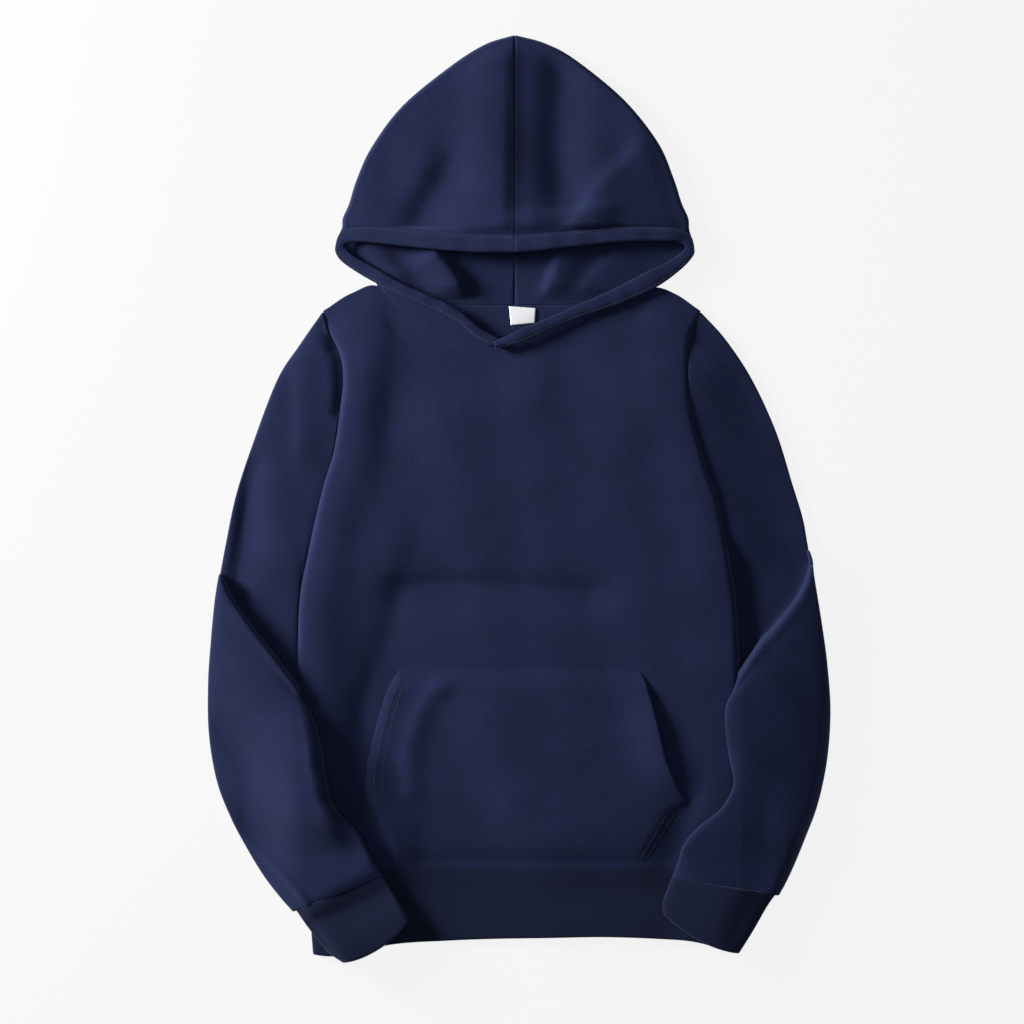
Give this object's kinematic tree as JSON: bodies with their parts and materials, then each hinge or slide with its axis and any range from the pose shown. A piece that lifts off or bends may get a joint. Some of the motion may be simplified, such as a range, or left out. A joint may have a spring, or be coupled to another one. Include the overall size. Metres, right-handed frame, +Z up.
{
  "type": "pullover hoodie",
  "caption": "Heavy fleece pullover hoodie laid flat and face up, with a hood, a pouch pocket, long sleeves folded in over the body, ribbed cuffs and a ribbed hem.",
  "frame": {"origin": "middle of the footprint, on the surface the hoodie lies on", "axes": "+Y from the hem to the top of the hood, +X to the wearer's left, +Z up out of the front"},
  "size_m": [0.6487, 0.9651, 0.0313],
  "materials": {
    "fleece": "matt brushed fleece, navy",
    "rib": "matt knitted rib, navy",
    "label": "woven satin, white"
  },
  "bodies": {
    "root": {"front_panel": "fleece", "back_panel": "fleece", "hem_band": "rib", "kangaroo_pocket": "fleece", "sleeve_right": "fleece", "cuff_right": "rib", "sleeve_left": "fleece", "cuff_left": "rib", "hood_right": "fleece", "hood_edge_right": "fleece", "hood_left": "fleece", "hood_edge_left": "fleece", "neck_label": "label"}
  },
  "joints": []
}
